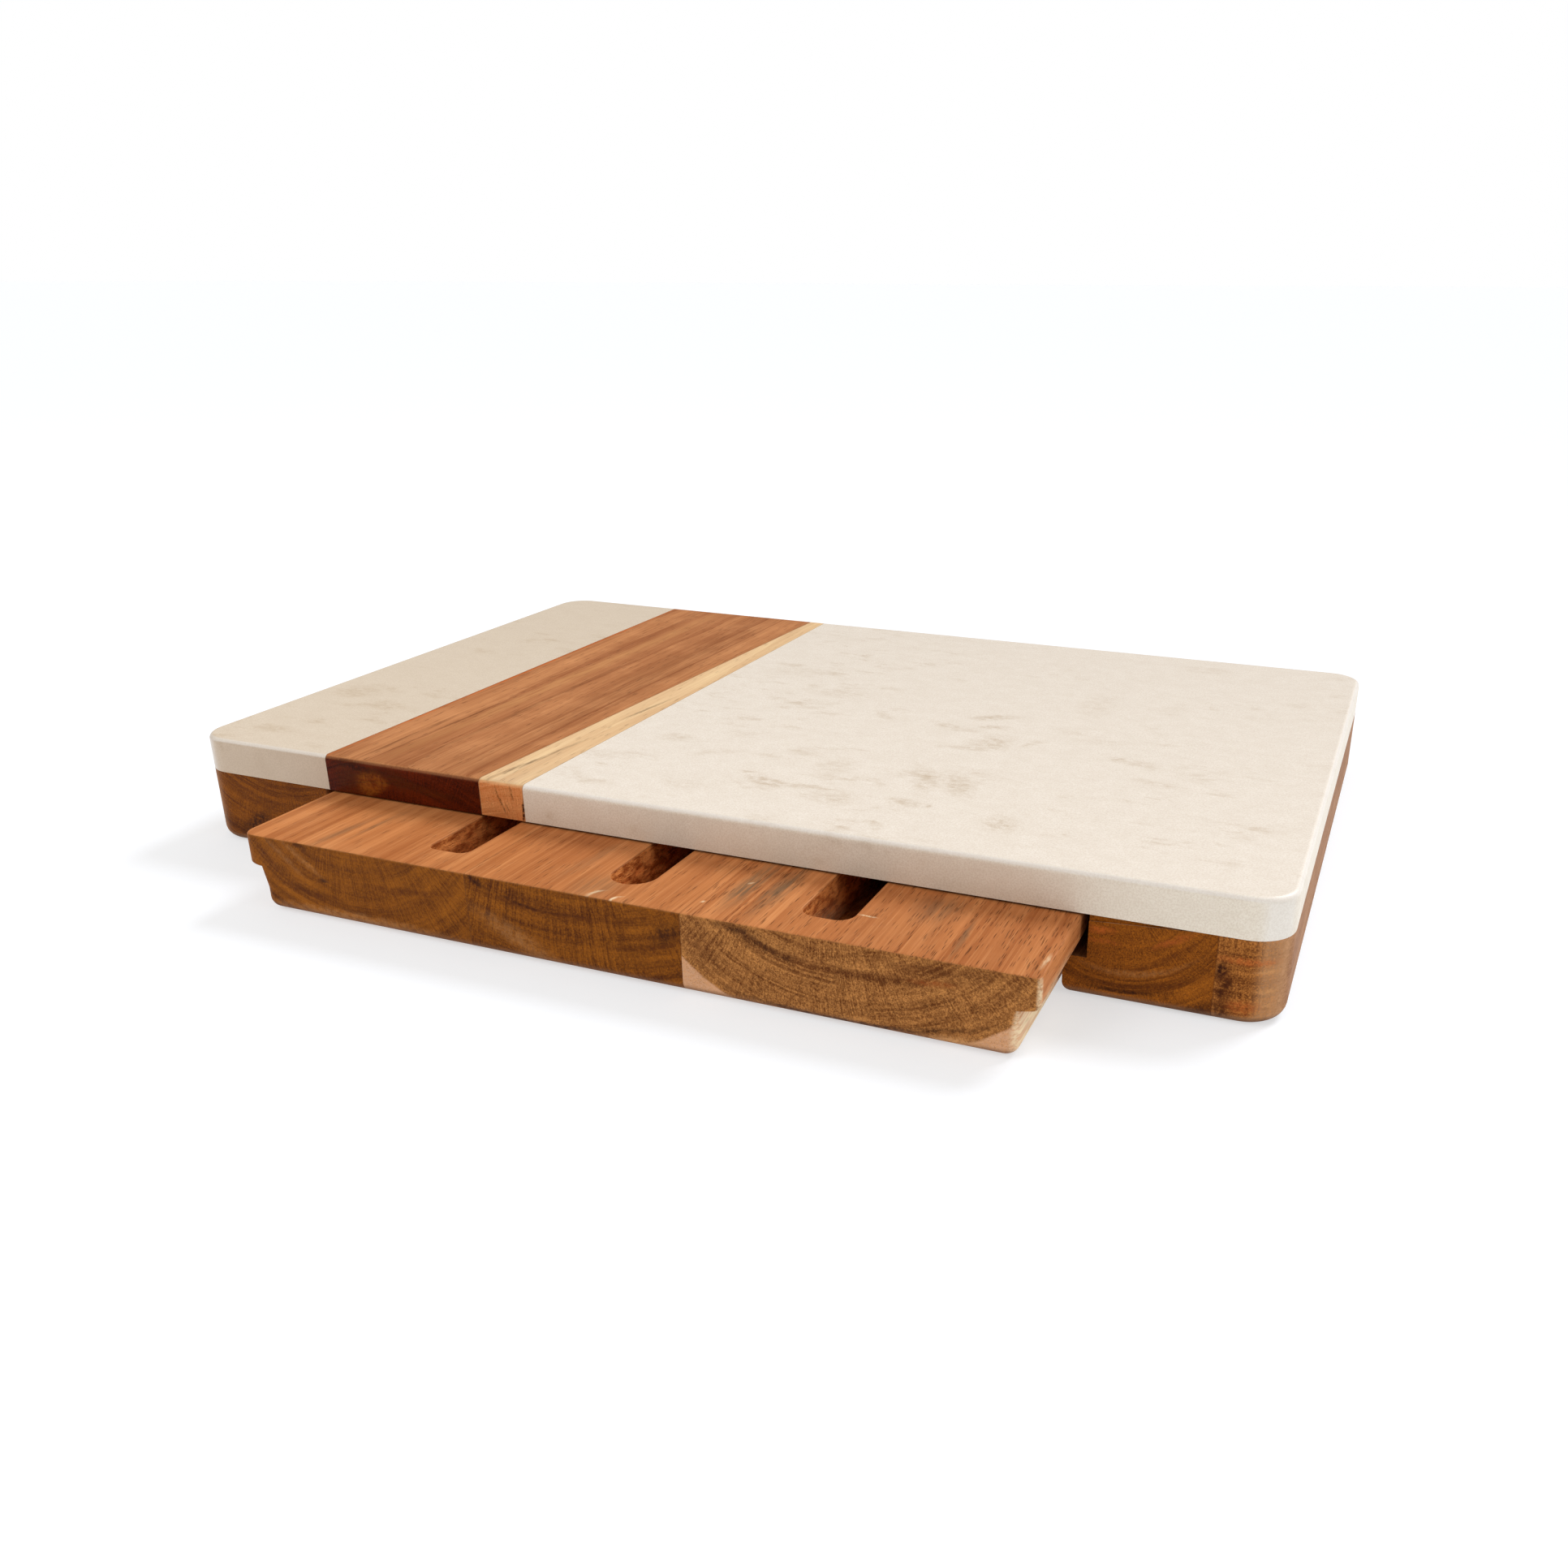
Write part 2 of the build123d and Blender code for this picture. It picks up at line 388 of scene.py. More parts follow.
def slot_mask(tree, parts):
    """1 inside the drawer's tool slots, below their rims and above their floors."""
    below = fade(tree, parts["Z"], SLOT_RIM, SLOT_RIM - SLOT_BLUR)
    above = fade(tree, parts["Z"], SLOT_FLOOR - SLOT_BLUR, SLOT_FLOOR)
    behind = fade(tree, parts["Y"], SLOTS_FRONT - SLOT_BLUR, SLOTS_FRONT)
    before = fade(tree, parts["Y"], SLOTS_BACK + SLOT_BLUR, SLOTS_BACK)
    beside = fade(tree, reckon(tree, "ABSOLUTE", parts["X"]), SLOTS_REACH + SLOT_BLUR, SLOTS_REACH)
    return every(tree, below, above, behind, before, beside)


def joint_mask(tree, start, parts):
    """A thin dark glue line on each side of a stave, slanted where the stave is tapered."""
    lines = []
    for side in ("Left", "Right"):
        joint = reckon(tree, "MULTIPLY_ADD", parts["Y"], start[side + " Slant"], start[side + " Joint"])
        gap = reckon(tree, "ABSOLUTE", reckon(tree, "SUBTRACT", parts["X"], joint))
        lines.append(fade(tree, gap, GLUE_LINE, GLUE_LINE * HALF))
    return reckon(tree, "MAXIMUM", *lines)


def noise_masks(tree, place, noises):
    """The noises of a table by name, cut into masks where the cuts name them."""
    masks = {}
    for name, (cells, detail, roughness) in noises.items():
        noise = cloud(tree, place, cells, detail, roughness)
        masks[name] = fade(tree, noise, *NOISE_CUTS[name]) if name in NOISE_CUTS else noise
    return masks


def wood_masks(tree, start, coordinate):
    """Everything that varies through a stave, worked out once."""
    place, normal = coordinate["Object"], coordinate["Normal"]
    seeded = seeded_place(tree, start, place)
    radius, polar = heart_place(tree, start, place, seeded)
    masks = noise_masks(tree, seeded, GRAIN_NOISES) | noise_masks(tree, polar, HEART_NOISES)
    masks["across"] = end_mask(tree, normal)
    masks["edges"] = edge_mask(tree, normal)
    masks["under"] = under_mask(tree, normal, WOOD_UNDER_FACING)
    masks["broad"], masks["line"] = ring_masks(tree, start, radius)
    masks["pores"] = pore_mask(tree, seeded, start["Pore Share"], masks["flows"])
    parts = split(tree, place)
    masks["joints"] = joint_mask(tree, start, parts)
    in_slot = slot_mask(tree, parts)
    masks["torn"] = reckon(tree, "MULTIPLY", in_slot, start["Tear"])
    masks["dim"] = reckon(tree, "MULTIPLY", in_slot, fade(tree, parts["Z"], DIM_FROM, DIM_TO))
    masks["sap"] = fade(tree, reckon(tree, "SUBTRACT", radius, start["Sap Radius"]), -SAP_BLUR, SAP_BLUR)
    return masks


def side_color(tree, start, masks):
    """Wood cut along the grain: broad bands, hazy and grey streaks, ring lines and fine fibres, with a
    painted sheen on some fibres.
    """
    bands = ((masks["broad"], BROAD_SHARE), (masks["bands"], BAND_SHARE), (masks["flows"], FLOW_SHARE))
    color = tinted(tree, start["Light"], start["Dark"], layered(tree, *bands), start["Band Depth"])
    color = tinted(tree, color, start["Rubbed And Sheen"], masks["haze"], start["Haze Depth"])
    color = tinted(tree, color, start["Grey"], masks["grey"], start["Grey Depth"])
    color = tinted(tree, color, start["Dark"], masks["line"], start["Line Depth"])
    fine = layered(tree, (masks["streaks"], STREAK_SHARE), (masks["fibres"], FIBRE_SHARE))
    color = tinted(tree, color, start["Dark"], fade(tree, fine, *STREAK_CUT), start["Fibre Depth"])
    # Painted sheen: some fibres are lightened towards the rubbed colour.
    fibre_sheen = fade(tree, masks["fibres"], *FIBRE_SHEEN_CUT)
    return tinted(tree, color, start["Rubbed And Sheen"], fibre_sheen, FIBRE_SHEEN_DEPTH)


def end_color(tree, start, masks):
    """Wood cut across the grain: arcs of the rings, combed by fine rays in patches, and speckled."""
    patches = masks["patches"]
    arcs = reckon(tree, "MULTIPLY", masks["arcs"], spread(tree, patches, *ARCS_IN_PATCHES))
    rays = reckon(tree, "MULTIPLY", masks["rays"], spread(tree, patches, *RAYS_IN_PATCHES))
    line = reckon(tree, "MULTIPLY", masks["line"], spread(tree, patches, *LINES_IN_PATCHES))
    tone = layered(
        tree,
        (masks["broad"], start["Ring Depth"]),
        (arcs, start["Arc Depth"]),
        (rays, start["Ray Depth"]),
        (masks["blots"], BLOT_DEPTH),
        (fade(tree, masks["specks"], *SOFT), start["Speckle"]),
    )
    color = mix(tree, tone, start["End Light"], start["End Dark"])
    color = tinted(tree, color, start["End Dark"], line, start["Line Depth"])
    color = tinted(tree, color, start["End Dark"], fade(tree, masks["grit"], *DARK_GRIT), start["Speckle"])
    return tinted(tree, color, start["End Light"], fade(tree, masks["grit"], *PALE_GRIT), start["Speckle"])


def worn_color(tree, start, masks, color):
    """Open pores, rubbed edges and glue lines over the figure of the wood."""
    color = tinted(tree, color, start["Pore Shade"], masks["pores"], start["Pore Depth"])
    rub = reckon(tree, "MULTIPLY", masks["edges"], spread(tree, masks["specks"], *RUB_UNEVENNESS))
    color = tinted(tree, color, start["Rubbed And Sheen"], rub, start["Edge Rub"])
    return tinted(tree, color, start["Pore Shade"], masks["joints"], start["Joint Depth"])


def sapwood_color(tree, start, masks, color):
    """The pale outer wood of the trunk, past the last dark ring."""
    flecks = fade(tree, masks["specks"], *CRISP)
    pale = tinted(tree, start["Sapwood"], start["End Light"], flecks, SAP_FLECKS)
    return tinted(tree, color, pale, masks["sap"], SAP_DEPTH)


def torn_grain_and_slot_shade(tree, start, masks, color):
    """The ragged grain that a router leaves inside the tool slots, with painted shade darker towards their
    floors.
    """
    torn = mix(tree, fade(tree, masks["ragged"], *TORN_CUT), start["Torn Light"], start["Torn Dark"])
    color = tinted(tree, color, torn, masks["torn"], TORN_DEPTH)
    # Painted shade: darker towards the slots' floors.
    return tinted(tree, color, start["End Dark"], masks["dim"], SLOT_PAINTED_SHADE_DEPTH)


def wood_color(tree, start, masks):
    """The whole colour of a stave, from its figure to its wear, with painted shade on its undersides."""
    color = mix(tree, masks["across"], side_color(tree, start, masks), end_color(tree, start, masks))
    for finish in (worn_color, sapwood_color, torn_grain_and_slot_shade):
        color = finish(tree, start, masks, color)
    # Painted shade: faces that look down at the floor are darkened towards the pore shade.
    return tinted(tree, color, start["Pore Shade"], masks["under"], UNDERSIDE_PAINTED_SHADE_DEPTH)


def wood_roughness(tree, masks):
    """How rough the wood is: more so at its fibres and pores."""
    open_grain = layered(tree, (masks["fibres"], FIBRE_ROUGHNESS), (masks["pores"], PORE_ROUGHNESS))
    return reckon(tree, "ADD", open_grain, WOOD_ROUGHNESS)


def wood_height(tree, masks):
    """How high the wood stands, as shares of its relief."""
    return layered(
        tree,
        (reckon(tree, "MULTIPLY", masks["specks"], masks["across"]), SPECK_HEIGHT),
        (masks["fibres"], FIBRE_HEIGHT),
        (masks["pores"], PORE_HEIGHT),
        (masks["line"], LINE_HEIGHT),
        (reckon(tree, "MULTIPLY", masks["ragged"], masks["torn"]), TEAR_HEIGHT),
    )


def wood_group():
    """Oiled wood with its grain running front to back."""
    given = {
        "Heart X": 0.0, "Heart Z": 0.08, "Ring": 0.006, "Skew": 0.0, "Seed": 0.0, "Sap Radius": 1.0,
        "Pore Share": 0.45, "Line Depth": 0.4, "Band Depth": 0.8, "Haze Depth": 0.25, "Grey Depth": 0.3,
        "Fibre Depth": 0.5, "Edge Rub": 0.3, "Speckle": 0.3, "Pore Depth": 0.6, "Ring Depth": 0.2,
        "Arc Depth": 0.3, "Ray Depth": 0.3, "Joint Depth": 0.3, "Tear": 0.0,
        "Left Joint": -1.0, "Right Joint": 1.0, "Left Slant": 0.0, "Right Slant": 0.0,
        "Light": paint(200, 130, 85), "Dark": paint(140, 80, 45), "Grey": paint(150, 100, 66),
        "Pore Shade": paint(70, 35, 15), "Rubbed And Sheen": paint(225, 175, 130), "Sapwood": paint(220, 170, 115),
        "End Light": paint(150, 100, 60), "End Dark": paint(100, 55, 20),
        "Torn Light": paint(250, 164, 92), "Torn Dark": paint(156, 74, 22),
    }
    tree, start, end = new_group("oiled_wood", given, ("Color", "Roughness", "Height"))
    masks = wood_masks(tree, start, surface(tree))
    results = {
        "Color": wood_color(tree, start, masks),
        "Roughness": wood_roughness(tree, masks),
        "Height": wood_height(tree, masks),
    }
    return close_group(tree, end, results)


# Marks: single knots, stains, smudges and knocks, each at its own place, and painted shade along the
# drawer's channel

# How ragged their outlines are: cells a metre, detail, and how far each wood mark and smudge is pushed
WARP_CELLS, FRAY_CELLS = (150.0, 150.0, 150.0), (600.0, 600.0, 600.0)
OUTLINE_DETAIL = 2.0
STAIN_WARP, STAIN_FRAY = 1.0 * MM, 0.9 * MM
SMUDGE_WARP, SMUDGE_FRAY = 5.0 * MM, 2.0 * MM
# How a mark fades from past its outline to its middle
MARK_FADE = (1.6, 0.2)

MARK_SHADES = {
    "dark": paint(44, 12, 3),
    "brown": paint(84, 38, 5),
    "orange": paint(206, 104, 44),
    "ochre": paint(158, 92, 24),
    "grey": paint(120, 92, 66),
    "pale": paint(250, 226, 186),
    "tan": paint(214, 156, 100),
}
# The ways that a mark runs and spreads on each face
MARK_AXES = {"front": ("X", "Z"), "top": ("X", "Y"), "left": ("Y", "Z"), "right": ("Y", "Z")}
END_GRAIN = ((800.0, 60.0, 800.0), 3.0, 0.6)
LONG_GRAIN = ((900.0, 50.0, 900.0), 3.0, 0.6)
GRAIN_CUT, GRAIN_SPREAD = (0.36, 0.6), (0.3, 1.0)


def mark_group():
    """The soft outline of one mark: long and narrow, turned, and bent like a bow."""
    given = {
        "Run": 0.0, "Side": 0.0, "Middle Run": 0.0, "Middle Side": 0.0, "Length": 0.01, "Width": 0.004,
        "Turn": 0.0, "Bend": 0.0, "Strength": 1.0,
    }
    tree, start, end = new_group("soft_mark", given, ("Mask",))
    off_run = reckon(tree, "SUBTRACT", start["Run"], start["Middle Run"])
    off_side = reckon(tree, "SUBTRACT", start["Side"], start["Middle Side"])
    cosine = reckon(tree, "COSINE", start["Turn"])
    sine = reckon(tree, "SINE", start["Turn"])
    run = layered(tree, (off_run, cosine), (off_side, sine))
    lean = reckon(tree, "MULTIPLY", off_run, sine)
    side = reckon(tree, "SUBTRACT", reckon(tree, "MULTIPLY", off_side, cosine), lean)
    run = reckon(tree, "DIVIDE", run, start["Length"])
    square = reckon(tree, "MULTIPLY", run, run)
    side = reckon(tree, "SUBTRACT", side, reckon(tree, "MULTIPLY", square, start["Bend"]))
    side = reckon(tree, "DIVIDE", side, start["Width"])
    reach = reckon(tree, "SQRT", reckon(tree, "MULTIPLY_ADD", side, side, square))
    mask = reckon(tree, "MULTIPLY", fade(tree, reach, *MARK_FADE), start["Strength"])
    return close_group(tree, end, {"Mask": mask})


def ragged_place(tree, place, warp, fray):
    """Places pushed about a little, so that the outline of a mark isn't even."""
    for cells, reach in ((WARP_CELLS, warp), (FRAY_CELLS, fray)):
        place = pushed(tree, place, place, cells, OUTLINE_DETAIL, reach)
    return split(tree, place)


def mark_mask(tree, group, run, side, sizes):
    """The mask of one mark, from its sizes in millimetres and degrees."""
    middle_run, middle_side, length, width, turn, bend, strength = sizes
    values = millimetres(Middle_Run=middle_run, Middle_Side=middle_side, Bend=bend)
    values |= millimetres(Length=length, Width=width)
    values |= {"Run": run, "Side": side, "Turn": math.radians(turn), "Strength": strength}
    return use(tree, group, values)["Mask"]


def face_mask(tree, face, normal):
    """1 on the faces that a mark shows on: the ends of the grain, the top, or one of the sides."""
    if face == "front":
        return end_mask(tree, normal)
    parts = split(tree, normal)
    if face == "top":
        return fade(tree, parts["Z"], *TOP_FACING)
    outward = 1.0 if face == "right" else -1.0
    return fade(tree, reckon(tree, "MULTIPLY", parts["X"], outward), *SIDE_FACING)


def marked_color(tree, group, color, marks):
    """The wood's colour with its marks over it, broken up by the grain."""
    coordinate = surface(tree)
    parts = ragged_place(tree, coordinate["Object"], STAIN_WARP, STAIN_FRAY)
    for face, (run, side) in MARK_AXES.items():
        chosen = [(shade, sizes) for where, shade, *sizes in marks if where == face]
        if not chosen:
            continue
        noise = END_GRAIN if face == "front" else LONG_GRAIN
        grain = fade(tree, cloud(tree, coordinate["Object"], *noise), *GRAIN_CUT)
        seen = face_mask(tree, face, coordinate["Normal"])
        seen = reckon(tree, "MULTIPLY", seen, spread(tree, grain, *GRAIN_SPREAD))
        for shade, sizes in chosen:
            mask = mark_mask(tree, group, parts[run], parts[side], sizes)
            color = tinted(tree, color, MARK_SHADES[shade], mask, seen)
    return color


def wood_material(name, wood, mark, values, marks):
    """The oiled wood of one stave or strip, with its own marks."""
    material, shader = new_material(name)
    tree = material.node_tree
    made = use(tree, wood, values)
    finish_material(material, shader, made, WOOD_RELIEF, WOOD_GLOSS)
    tree.links.new(marked_color(tree, mark, made["Color"], marks), shader.inputs["Base Color"])
    return material


# Marble: honed stone with a fine grain, faint wisps, and single smudges

# Noises of the stone: cells a metre across, along and up, how detailed, and how rough
STONE_GRAIN = ((1800.0, 1800.0, 1800.0), 3.0, 0.7)
MOTTLE = ((120.0, 170.0, 150.0), 5.0, 0.7)
CLUSTERS = ((14.0, 18.0, 14.0), 2.0, 0.5)
WISPS = ((60.0, 130.0, 60.0), 5.0, 0.7)
TATTER = ((260.0, 420.0, 260.0), 5.0, 0.7)
CLUSTER_CUT, WISP_CUT, TATTER_CUT = (0.4, 0.62), (0.52, 0.74), (0.36, 0.64)
TATTER_SPREAD = (0.1, 1.0)

# How deep each shade of the stone goes
MOTTLE_DEPTH, STONE_GRAIN_DEPTH, WISP_DEPTH, SMUDGE_DEPTH = 0.28, 0.62, 0.42, 0.5
PAINTED_SIDE_SHADE_DEPTH, STONE_EDGE_HIGHLIGHT_DEPTH, STONE_UNDERSIDE_PAINTED_SHADE_DEPTH = 0.9, 0.35, 0.9

# Roughness and relief of the stone
STONE_ROUGHNESS, STONE_GRAIN_ROUGHNESS = 0.33, 0.15
MOTTLE_HEIGHT = 0.3
MARBLE_RELIEF = 0.02 * MM
MARBLE_GLOSS = 0.35

SMUDGE_SPREAD = 1.6
SMUDGES = (
    # Millimetres across and back, half length, half width, turn in degrees, rise of its ends, strength
    (68, 27, 9, 1.7, 30, 0, 1.0),
    (71, 16, 6, 1.5, 20, 0, 0.9),
    (57, 10, 9, 1.7, -14, 1.5, 0.8),
    (76, -2, 9, 4, 68, 0, 0.85),
    (67, -11, 7, 1.4, 10, 0, 0.8),
    (89, 2, 6, 1.2, 58, 0, 0.6),
    (100, 57, 7, 9, 0, 0, 0.35),
    (121, -2, 2.2, 1.8, 0, 0, 1.0),
    (129, -5, 6, 2.4, -10, 0, 0.6),
    (153, -5, 9, 1.2, 40, 0, 0.3),
    (138, -22, 8, 1.6, -7, 1, 0.6),
    (29, 14, 5, 1.4, -48, 0, 0.6),
    (67, -45, 13, 2.3, -68, -2, 0.8),
    (78, -47, 11, 3, -61, 0, 0.85),
    (68, -69, 5, 2.2, -18, 0, 0.8),
    (75, -69, 1, 0.9, 0, 0, 1.0),
    (64.5, -88, 2, 0.8, -8, 0, 1.0),
    (101, -75, 6, 3.4, -43, 0, 0.85),
    (122, -77, 0.9, 0.8, 0, 0, 1.6),
    (35, -46, 6, 5, 0, 0, 0.5),
    (46, -73, 6, 4, 20, 0, 0.75),
    (19, -67, 8, 2.1, -22, 1, 1.0),
    (-36, -88, 9, 1.8, -22, 4, 0.7),
    (-9, -47, 9, 1.7, 30, 0, 0.5),
    (-30, -38, 7, 2.6, 10, 0, 0.55),
    (-4, -80, 8, 2.4, 0, 2, 0.45),
    (-42, -64, 12, 3, 12, 3, 0.4),
    (20, -36, 7, 2, 0, 0, 0.45),
    (3, 35, 12, 3, 8, 2, 0.5),
    (-28, 58, 12, 4, 10, 0, 0.35),
    (99, 20, 9, 1.4, -16, 0, 0.35),
    (112, 14, 9, 1.6, 6, 0, 0.35),
    (130, 124, 9, 3, 0, 0, 0.4),
    (-174, -35, 9, 4, 20, 0, 0.8),
    (-150, -46, 8, 2.4, 0, 0, 0.9),
    (-170, -84, 8, 2.4, 0, 0, 0.8),
)


def smudge_mask(tree, group, place):
    """All the smudges of the stone, with ragged outlines and worn through in places."""
    parts = ragged_place(tree, place, SMUDGE_WARP, SMUDGE_FRAY)
    masks = []
    for across, back, length, width, turn, rise, strength in SMUDGES:
        sizes = (across, back, length, width * SMUDGE_SPREAD, turn, rise, strength)
        masks.append(mark_mask(tree, group, parts["X"], parts["Y"], sizes))
    total = layered(tree, *((mask, 1.0) for mask in masks))
    tatter = fade(tree, cloud(tree, place, *TATTER), *TATTER_CUT)
    return reckon(tree, "MULTIPLY", total, spread(tree, tatter, *TATTER_SPREAD))


def stone_masks(tree, mark, start, coordinate):
    """Everything that varies over the stone, worked out once."""
    place, normal = coordinate["Object"], coordinate["Normal"]
    seeded = seeded_place(tree, start, place)
    clusters = fade(tree, cloud(tree, seeded, *CLUSTERS), *CLUSTER_CUT)
    wisps = fade(tree, cloud(tree, seeded, *WISPS), *WISP_CUT)
    return {
        "grain": cloud(tree, seeded, *STONE_GRAIN),
        "mottle": fade(tree, cloud(tree, seeded, *MOTTLE), *SOFT),
        "wisps": reckon(tree, "MULTIPLY", wisps, clusters),
        "smudges": smudge_mask(tree, mark, place),
        "painted_side_shade": fade(tree, reckon(tree, "ABSOLUTE", split(tree, normal)["Z"]), *SHADED_SIDE_FACING),
        "edges": edge_mask(tree, normal),
        "under": under_mask(tree, normal, STONE_UNDER_FACING),
    }


def stone_color(tree, start, masks):
    """The whole colour of the stone, from its ground to its painted side shade, painted edge highlight and
    painted underside shade.
    """
    color = tinted(tree, start["Ground"], start["Mottle"], masks["mottle"], MOTTLE_DEPTH)
    color = tinted(tree, color, start["Mottle"], fade(tree, masks["grain"], *CRISP), STONE_GRAIN_DEPTH)
    color = tinted(tree, color, start["Smudge"], masks["wisps"], WISP_DEPTH)
    color = tinted(tree, color, start["Smudge"], masks["smudges"], SMUDGE_DEPTH)
    # Painted shade: the upright sides are darker and warmer than the top.
    painted_side_shade = reckon(tree, "MULTIPLY", masks["painted_side_shade"], PAINTED_SIDE_SHADE_DEPTH)
    color = mix(tree, painted_side_shade, color, start["Painted Side Shade"], "MULTIPLY")
    # Painted highlight: the rounded and eased edges are whitened.
    color = tinted(tree, color, start["Painted Edge Highlight"], masks["edges"], STONE_EDGE_HIGHLIGHT_DEPTH)
    # Painted shade: the faces that look down are darkened.
    return tinted(tree, color, start["Underside Painted Shade"], masks["under"], STONE_UNDERSIDE_PAINTED_SHADE_DEPTH)


def marble_group(mark):
    """Honed off-white marble with a fine grain and a few faint smudges."""
    given = {
        "Ground": paint(249, 242, 232), "Mottle": paint(226, 214, 199), "Smudge": paint(184, 158, 122),
        "Painted Edge Highlight": WHITE, "Painted Side Shade": paint(250, 249, 243), "Underside Painted Shade": paint(104, 92, 80),
        "Seed": 0.0,
    }
    tree, start, end = new_group("honed_marble", given, ("Color", "Roughness", "Height"))
    masks = stone_masks(tree, mark, start, surface(tree))
    results = {
        "Color": stone_color(tree, start, masks),
        "Roughness": reckon(tree, "MULTIPLY_ADD", masks["grain"], STONE_GRAIN_ROUGHNESS, STONE_ROUGHNESS),
        "Height": reckon(tree, "MULTIPLY_ADD", masks["mottle"], MOTTLE_HEIGHT, masks["grain"]),
    }
    return close_group(tree, end, results)


def marble_material(name, group, values):
    """The marble of one slab."""
    material, shader = new_material(name)
    made = use(material.node_tree, group, values)
    finish_material(material, shader, made, MARBLE_RELIEF, MARBLE_GLOSS)
    return material


# The board's own woods and stones

DRAWER_COLORS = {
    "Light": paint(224, 150, 92), "Dark": paint(144, 72, 26), "Grey": paint(150, 100, 64),
    "End Light": paint(174, 102, 22), "End Dark": paint(74, 30, 0), "Sapwood": paint(224, 173, 136),
    "Pore Shade": paint(98, 58, 30), "Rubbed And Sheen": paint(232, 168, 112), "Fibre Depth": 0.32, "Edge Rub": 0.12,
}
BASE_COLORS = {
    "Light": paint(190, 140, 98), "Dark": paint(134, 84, 48), "End Light": paint(166, 94, 16),
    "End Dark": paint(68, 26, 0), "Rubbed And Sheen": paint(214, 164, 118),
}
STRIP_COLORS = {
    "Light": paint(210, 146, 96), "Dark": paint(136, 70, 34), "Grey": paint(140, 94, 62),
    "End Light": paint(122, 42, 2), "End Dark": paint(44, 5, 0), "Rubbed And Sheen": paint(226, 160, 108),
}
PALE_COLORS = {
    "Light": paint(246, 215, 170), "Dark": paint(216, 174, 130), "Grey": paint(190, 170, 145),
    "End Light": paint(255, 186, 122), "End Dark": paint(206, 118, 60), "Pore Shade": paint(150, 125, 95),
    "Rubbed And Sheen": paint(250, 222, 170),
}
# What sets each stave apart: where its heart line runs, how wide its rings are, and its own tones
STAVES = {
    "drawer_stave_left": DRAWER_COLORS | millimetres(Heart_X=-87, Heart_Z=59, Ring=6) | {
        "Seed": 3.0, "Pore Share": 0.3, "Pore Depth": 0.3, "Speckle": 0.22, "Tear": 0.85,
        "Fibre Depth": 0.24, "Band Depth": 0.7, "Line Depth": 0.3,
    },
    "drawer_stave_middle": DRAWER_COLORS | millimetres(Heart_X=-12, Heart_Z=115, Ring=7) | {
        "Seed": 11.0, "Pore Share": 0.45, "Pore Depth": 0.45, "Ray Depth": 0.34, "Tear": 1.0,
        "Line Depth": 0.3, "Band Depth": 0.68, "Haze Depth": 0.18, "Light": paint(220, 147, 90),
    },
    "drawer_stave_right": DRAWER_COLORS | millimetres(Heart_X=70, Heart_Z=70, Ring=7, Sap_Radius=75.5) | {
        "Seed": 23.0, "Pore Share": 0.9, "Pore Depth": 0.66, "Skew": 0.11, "Speckle": 0.4, "Tear": 0.85,
        "Grey Depth": 0.45, "End Light": paint(226, 156, 86), "End Dark": paint(98, 50, 12),
        "Band Depth": 0.62, "Haze Depth": 0.15, "Light": paint(218, 145, 89),
    },
    "left_rail": BASE_COLORS | millimetres(Heart_X=-150, Heart_Z=70, Ring=6) | {"Seed": 31.0},
    "back_stave_left": BASE_COLORS | millimetres(Heart_X=-80, Heart_Z=-60, Ring=6) | {"Seed": 37.0},
    "back_stave_middle": BASE_COLORS | millimetres(Heart_X=-10, Heart_Z=90, Ring=6) | {"Seed": 41.0},
    "back_stave_right": BASE_COLORS | millimetres(Heart_X=65, Heart_Z=-50, Ring=6) | {"Seed": 43.0},
    "right_rail": BASE_COLORS | millimetres(Heart_X=145, Heart_Z=35, Ring=6) | {
        "Seed": 47.0, "Ring Depth": 0.12, "Arc Depth": 0.22, "Ray Depth": 0.4, "Speckle": 0.36,
        "End Light": paint(186, 108, 26), "End Dark": paint(80, 36, 2),
    },
    "right_edge_stave": BASE_COLORS | millimetres(Heart_X=178, Heart_Z=190, Ring=8) | {
        "Seed": 53.0, "Speckle": 0.5, "Pore Depth": 0.25, "Edge Rub": 0.55,
        "End Light": paint(216, 140, 66), "End Dark": paint(90, 42, 5),
    },
    "acacia_strip": STRIP_COLORS | millimetres(Heart_X=-105, Heart_Z=-30, Ring=7) | {
        "Seed": 59.0, "Pore Share": 0.3, "Pore Depth": 0.4, "Band Depth": 0.6, "Haze Depth": 0.45,
        "Fibre Depth": 0.28,
    },
    "pale_strip": PALE_COLORS | millimetres(Heart_X=-40, Heart_Z=-70, Ring=5) | {
        "Seed": 61.0, "Pore Depth": 0.4, "Grey Depth": 0.5, "Joint Depth": 0.5,
    },
}
SLABS = {
    "marble_right": {"Seed": 2.0},
    "marble_left": {
        # A darker painted side shade than the right slab's
        "Ground": paint(232, 219, 201), "Mottle": paint(214, 198, 177), "Painted Side Shade": paint(224, 214, 205),
        "Seed": 5.0,
    },
}
